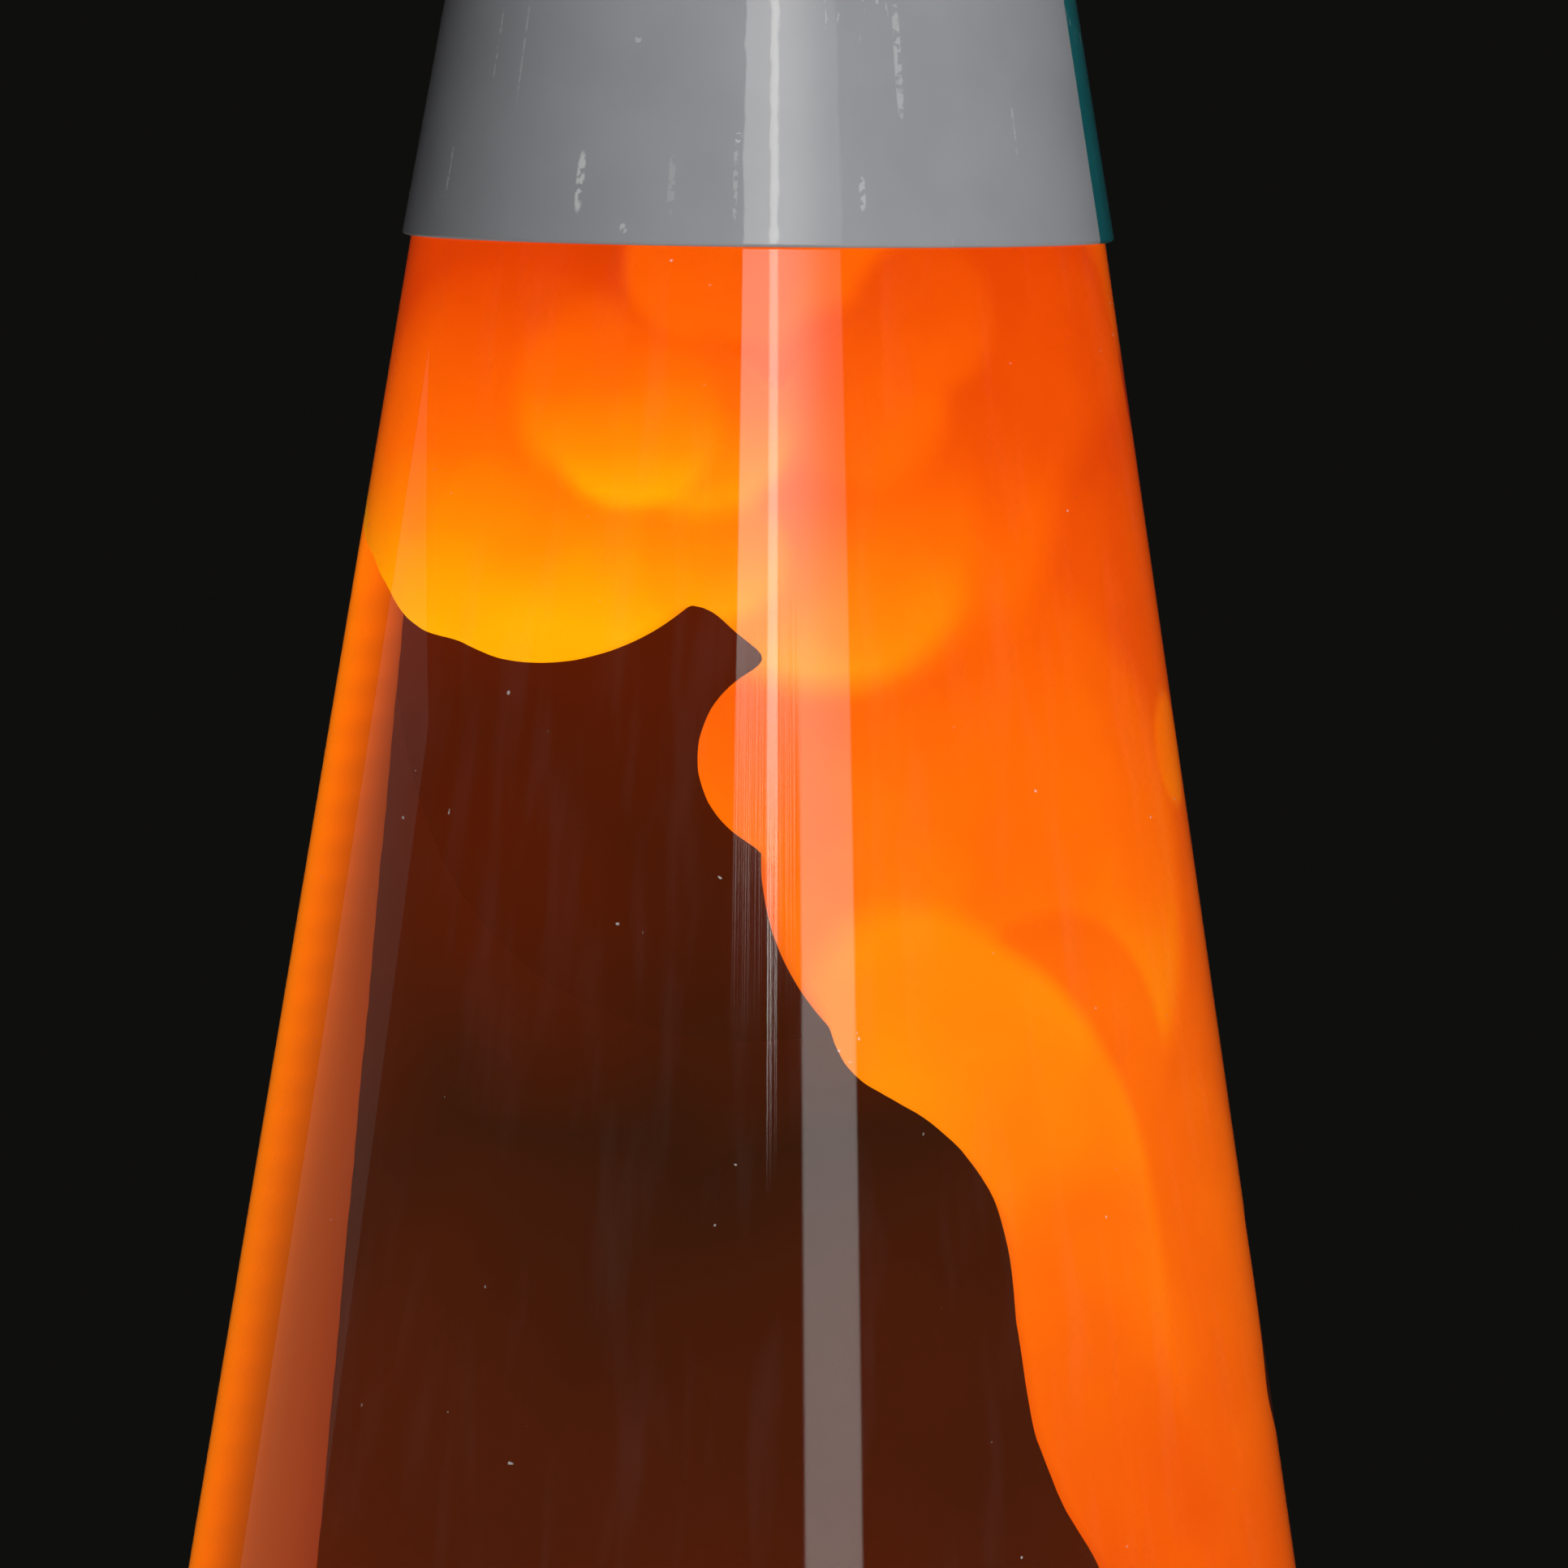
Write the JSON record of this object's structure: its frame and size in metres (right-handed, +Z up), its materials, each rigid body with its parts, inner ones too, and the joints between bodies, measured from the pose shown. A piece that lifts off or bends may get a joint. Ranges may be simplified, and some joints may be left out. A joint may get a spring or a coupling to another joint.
{
  "type": "lava lamp",
  "caption": "Lava lamp with a tapered sealed glass globe of dark liquid and glowing wax, a conical painted metal cap, and an hourglass base that hides a bulb in a screw socket.",
  "frame": {"origin": "on the table, under the middle of the lamp", "axes": "+Z up along the lamp's axis; +Y towards the back, where the cord's outlet is; +X to the right as seen from the front"},
  "size_m": [0.137, 0.137, 0.414],
  "materials": {
    "base_paint": "gloss",
    "cap_paint": "gloss",
    "plate_paint": "satin",
    "zinc_steel": "satin",
    "pipe_steel": "satin",
    "foot_rubber": "matte",
    "grommet_rubber": "matte",
    "socket_porcelain": "gloss",
    "socket_brass": "satin",
    "bulb_glass": "gloss",
    "bulb_aluminium": "satin",
    "bulb_black_glass": "gloss",
    "bulb_solder": "satin",
    "bulb_wire": "satin",
    "filament": "satin",
    "globe_glass": "gloss",
    "globe_liquid": "gloss",
    "globe_wax": "satin",
    "coil_steel": "satin",
    "crown_steel": "gloss",
    "liner_plastic": "matte"
  },
  "bodies": {
    "base": {"base_shell": "base_paint", "bottom_plate": "plate_paint", "plate_screws": "zinc_steel", "foot_1": "foot_rubber", "foot_2": "foot_rubber", "foot_3": "foot_rubber", "foot_4": "foot_rubber", "cord_grommet": "grommet_rubber", "lamp_pipe": "pipe_steel", "lock_nut_lower": "zinc_steel", "lock_nut_upper": "zinc_steel", "lock_washer": "zinc_steel", "socket_body": "socket_porcelain", "socket_screw_shell": "socket_brass", "socket_centre_contact": "socket_brass", "socket_terminals": "socket_brass", "socket_terminal_screws": "zinc_steel"},
    "bulb_glass": {"bulb_envelope": "bulb_glass"},
    "bulb_core": {"bulb_screw_shell": "bulb_aluminium", "bulb_insulator": "bulb_black_glass", "bulb_contact": "bulb_solder", "bulb_stem": "bulb_glass", "bulb_lead_wires": "bulb_wire", "bulb_support_wires": "bulb_wire", "bulb_filament": "filament"},
    "globe": {"bottle": "globe_glass", "liquid": "globe_liquid", "wax": "globe_wax", "heating_coil": "coil_steel", "crown_cap": "crown_steel", "crown_liner": "liner_plastic"},
    "cap": {"cap_shell": "cap_paint"}
  },
  "joints": [
    {"name": "globe_lift", "type": "slide", "parent": "base", "child": "globe", "axis": [0, 0, 1], "range_m": [0, 0.075]},
    {"name": "cap_lift", "type": "slide", "parent": "globe", "child": "cap", "axis": [0, 0, 1], "range_m": [0, 0.08]},
    {"name": "bulb_rise", "type": "slide", "parent": "base", "child": "bulb_glass", "axis": [0, 0, 1], "range_m": [0, 0.011]},
    {"name": "bulb_turn", "type": "hinge", "parent": "bulb_glass", "child": "bulb_core", "pos_m": [0, 0, 0.03], "axis": [0, 0, 1], "range_deg": [0, 1080]}
  ],
  "couplings": [
    {"joint": "bulb_rise", "follows": "bulb_turn", "m_per_rad": 0.00057773}
  ]
}
